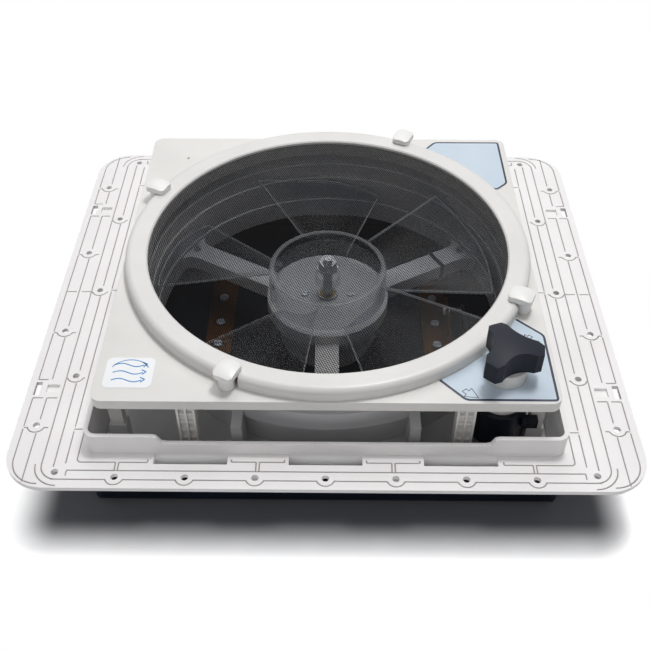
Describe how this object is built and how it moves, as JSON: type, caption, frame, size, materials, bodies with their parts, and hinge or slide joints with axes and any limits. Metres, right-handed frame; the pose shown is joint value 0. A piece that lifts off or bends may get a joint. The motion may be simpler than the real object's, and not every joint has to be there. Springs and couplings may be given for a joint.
{
  "type": "roof vent fan",
  "caption": "Roof vent fan with a screwed flange, round duct, screened axial fan, turn buttons and a hinged lid that a corner knob lifts.",
  "frame": {"origin": "Centre of the pattern of roof screws, on the flange face that meets the roof.", "axes": "+Z points to the room side, so the part stands upside down on its closed lid; installed, it is turned over so that +Z points down into the room. +X runs along the longer side of the flange. The knob is at +X, -Y and the lid's hinges are at -Y."},
  "size_m": [0.47, 0.419, 0.1422],
  "materials": {
    "flange_plastic": "satin",
    "duct_plastic": "satin",
    "panel_plastic": "satin",
    "zinc_steel": "zinc plated",
    "frame_plastic": "satin",
    "screen_mesh": "woven, coated",
    "label_film": "printed film",
    "badge_film": "printed film",
    "motor_steel": "satin",
    "ferrite": "matte",
    "black_plastic": "matte",
    "brush_board": "matte",
    "bronze": "satin",
    "cable_jacket": "satin",
    "seal_rubber": "matte",
    "nylon": "matte",
    "gear_housing_plastic": "satin",
    "clear_plastic": "clear, polished",
    "bright_steel": "ground",
    "winding": "varnished",
    "copper": "turned",
    "smoke_plastic": "glossy smoke",
    "bronze_zinc": "yellow passivated",
    "knob_plastic": "fine grained",
    "black_steel": "satin black"
  },
  "bodies": {
    "housing": {"roof_flange": "flange_plastic", "fan_duct": "duct_plastic", "duct_floor": "duct_plastic", "ceiling_panel": "panel_plastic", "panel_screws": "zinc_steel", "screen_frame": "frame_plastic", "insect_screen": "screen_mesh", "knob_label": "label_film", "blank_label": "label_film", "airflow_badge": "badge_film", "knob_collar": "panel_plastic", "motor_spider": "duct_plastic", "spider_screws": "zinc_steel", "motor_case": "motor_steel", "motor_magnets": "ferrite", "motor_end_cap": "black_plastic", "brush_holder": "brush_board", "front_bush": "bronze", "rear_bush": "bronze", "motor_screws": "zinc_steel", "motor_cover": "duct_plastic", "motor_lead": "cable_jacket", "wire_grommet": "seal_rubber", "lead_plug": "nylon", "cable_tie": "black_plastic", "gear_housing": "gear_housing_plastic", "gear_housing_screws": "zinc_steel", "lift_pivot_pin": "zinc_steel", "hinge_brackets": "zinc_steel", "hinge_pins": "zinc_steel"},
    "fan": {"fan_rotor": "clear_plastic", "motor_shaft": "bright_steel", "shaft_washer": "zinc_steel", "shaft_nut": "zinc_steel", "armature": "winding", "commutator": "copper"},
    "lid": {"lid_shell": "smoke_plastic", "lid_seal": "seal_rubber", "lid_strap": "bronze_zinc", "lift_track": "bronze_zinc", "strap_screws": "bright_steel", "hinge_leaves": "zinc_steel"},
    "knob": {"knob": "knob_plastic", "knob_spindle": "zinc_steel", "lift_worm": "bright_steel"},
    "lift_arm": {"lift_arm": "black_steel", "worm_wheel": "bronze"},
    "roller": {"lift_roller": "nylon"},
    "turn_button_1": {"turn_button_1": "frame_plastic"},
    "turn_button_2": {"turn_button_2": "frame_plastic"},
    "turn_button_3": {"turn_button_3": "frame_plastic"},
    "turn_button_4": {"turn_button_4": "frame_plastic"}
  },
  "joints": [
    {"name": "fan_spin", "type": "hinge", "parent": "housing", "child": "fan", "pos_m": [0, 0, 0], "axis": [0, 0, 1], "continuous": true},
    {"name": "lid_hinge", "type": "hinge", "parent": "housing", "child": "lid", "pos_m": [0, -0.1915, -0.012], "axis": [-1, 0, 0], "range_deg": [0, 55]},
    {"name": "knob_turn", "type": "hinge", "parent": "housing", "child": "knob", "pos_m": [0.1305, -0.1395, 0], "axis": [0, 0, 1], "range_deg": [0, 1992]},
    {"name": "lift_arm_swing", "type": "hinge", "parent": "housing", "child": "lift_arm", "pos_m": [0.1305, -0.12, -0.035], "axis": [-1, 0, 0], "range_deg": [0, 83]},
    {"name": "roller_spin", "type": "hinge", "parent": "lift_arm", "child": "roller", "pos_m": [0.111, 0.02925, -0.05], "axis": [-1, 0, 0], "continuous": true},
    {"name": "turn_button_1_turn", "type": "hinge", "parent": "housing", "child": "turn_button_1", "pos_m": [0.07142, 0.15317, 0.047], "axis": [0, 0, 1], "range_deg": [0, 90]},
    {"name": "turn_button_2_turn", "type": "hinge", "parent": "housing", "child": "turn_button_2", "pos_m": [-0.15317, 0.07142, 0.047], "axis": [0, 0, 1], "range_deg": [0, 90]},
    {"name": "turn_button_3_turn", "type": "hinge", "parent": "housing", "child": "turn_button_3", "pos_m": [-0.07142, -0.15317, 0.047], "axis": [0, 0, 1], "range_deg": [0, 90]},
    {"name": "turn_button_4_turn", "type": "hinge", "parent": "housing", "child": "turn_button_4", "pos_m": [0.15317, -0.07142, 0.047], "axis": [0, 0, 1], "range_deg": [0, 90]}
  ],
  "couplings": [
    {"joint": "lift_arm_swing", "follows": "lid_hinge", "ratio": 1.509},
    {"joint": "knob_turn", "follows": "lid_hinge", "ratio": 36.216}
  ]
}
